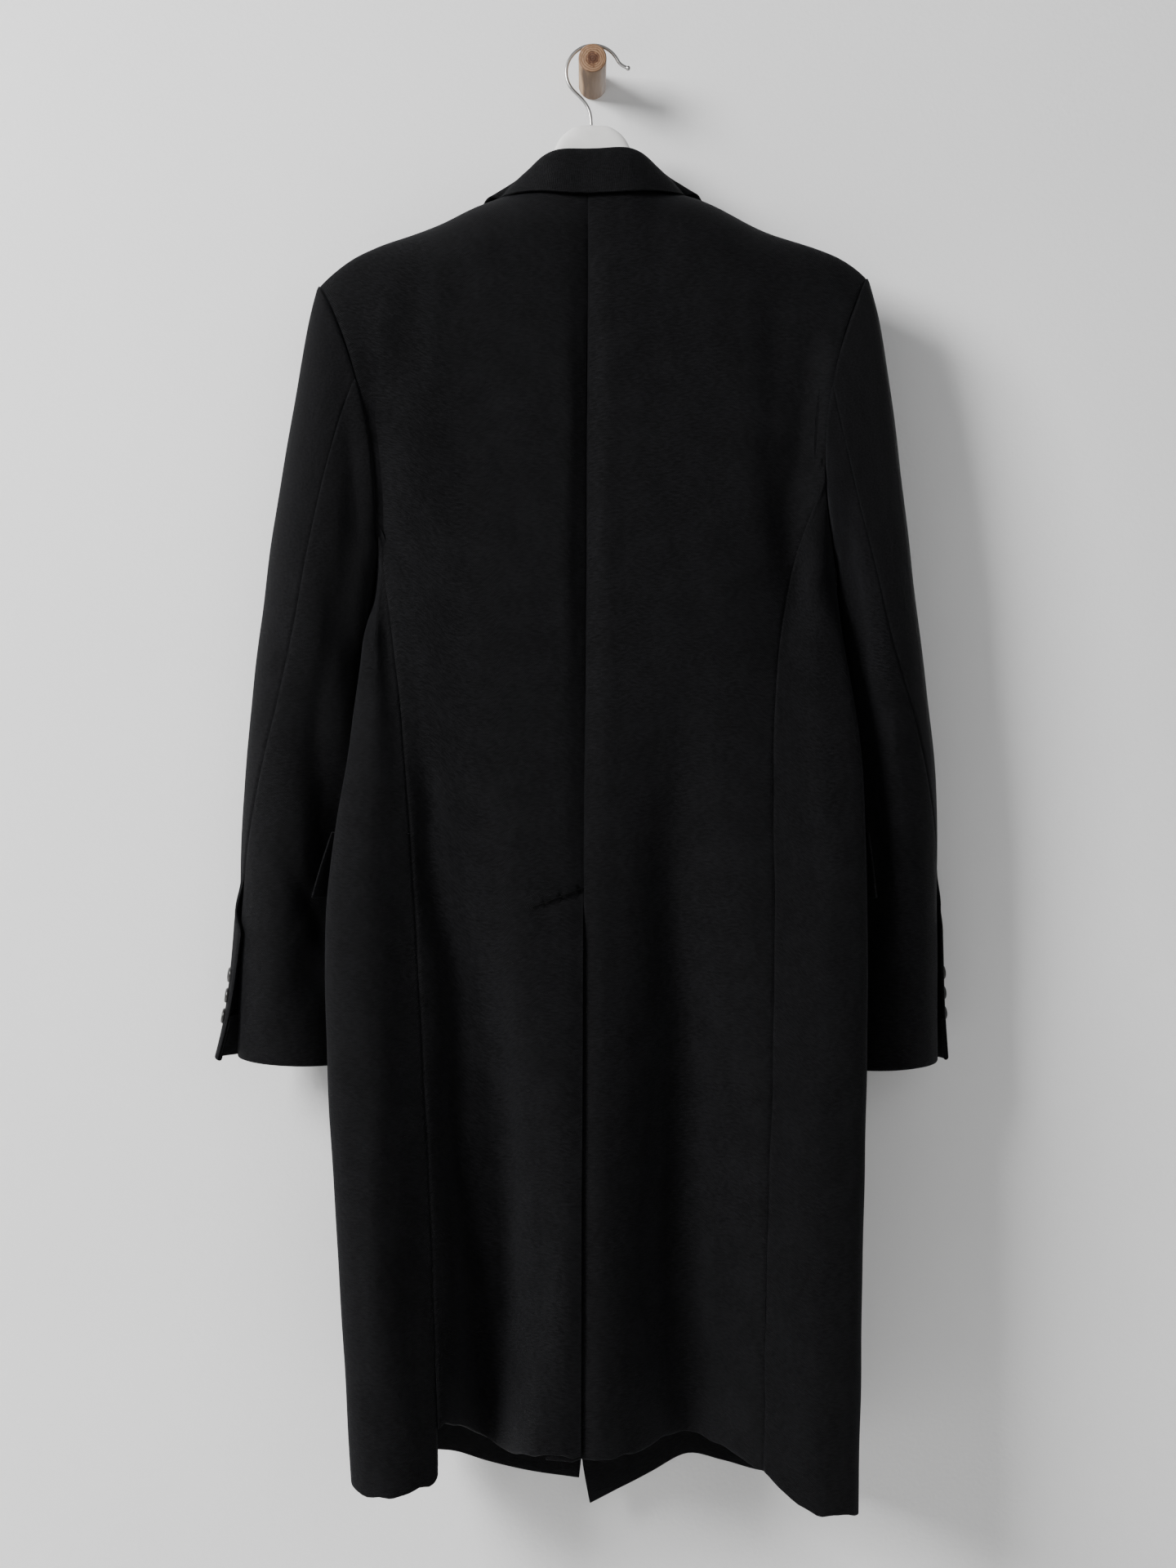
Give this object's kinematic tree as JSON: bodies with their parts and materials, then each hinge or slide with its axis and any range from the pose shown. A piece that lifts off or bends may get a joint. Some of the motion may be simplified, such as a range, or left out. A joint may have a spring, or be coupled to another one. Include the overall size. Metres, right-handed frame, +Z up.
{
  "type": "long tailored coat on hanger with wall peg",
  "caption": "Long tailored black wool coat with turn-down collar, vented back and cuffs, hanging on a shaped hanger from a round wooden wall peg.",
  "frame": {"origin": "centre of the wooden peg's back face, where it meets the wall", "axes": "+Y into the wall, out of the peg's back face; +Z up; +X to the right for someone who looks at the coat's back. The coat hangs on the -Y side of the wall."},
  "size_m": [0.6483, 0.1613, 1.2996],
  "materials": {
    "black_wool": "matte twill",
    "black_button": "polished",
    "white_plastic": "satin",
    "steel_wire": "bright",
    "pale_wood": "plain, unvarnished"
  },
  "bodies": {
    "root": {"back_left": "black_wool", "back_right": "black_wool", "side_left": "black_wool", "side_right": "black_wool", "front_left": "black_wool", "front_right": "black_wool", "lapel_left": "black_wool", "lapel_right": "black_wool", "pocket_flap_left": "black_wool", "pocket_flap_right": "black_wool", "collar": "black_wool", "top_sleeve_left": "black_wool", "top_sleeve_right": "black_wool", "under_sleeve_left": "black_wool", "under_sleeve_right": "black_wool", "front_button_1": "black_button", "front_button_2": "black_button", "front_button_3": "black_button", "cuff_button_left_1": "black_button", "cuff_button_left_2": "black_button", "cuff_button_left_3": "black_button", "cuff_button_right_1": "black_button", "cuff_button_right_2": "black_button", "cuff_button_right_3": "black_button", "hanger": "white_plastic", "hanger_hook": "steel_wire", "wall_peg": "pale_wood"}
  },
  "joints": []
}
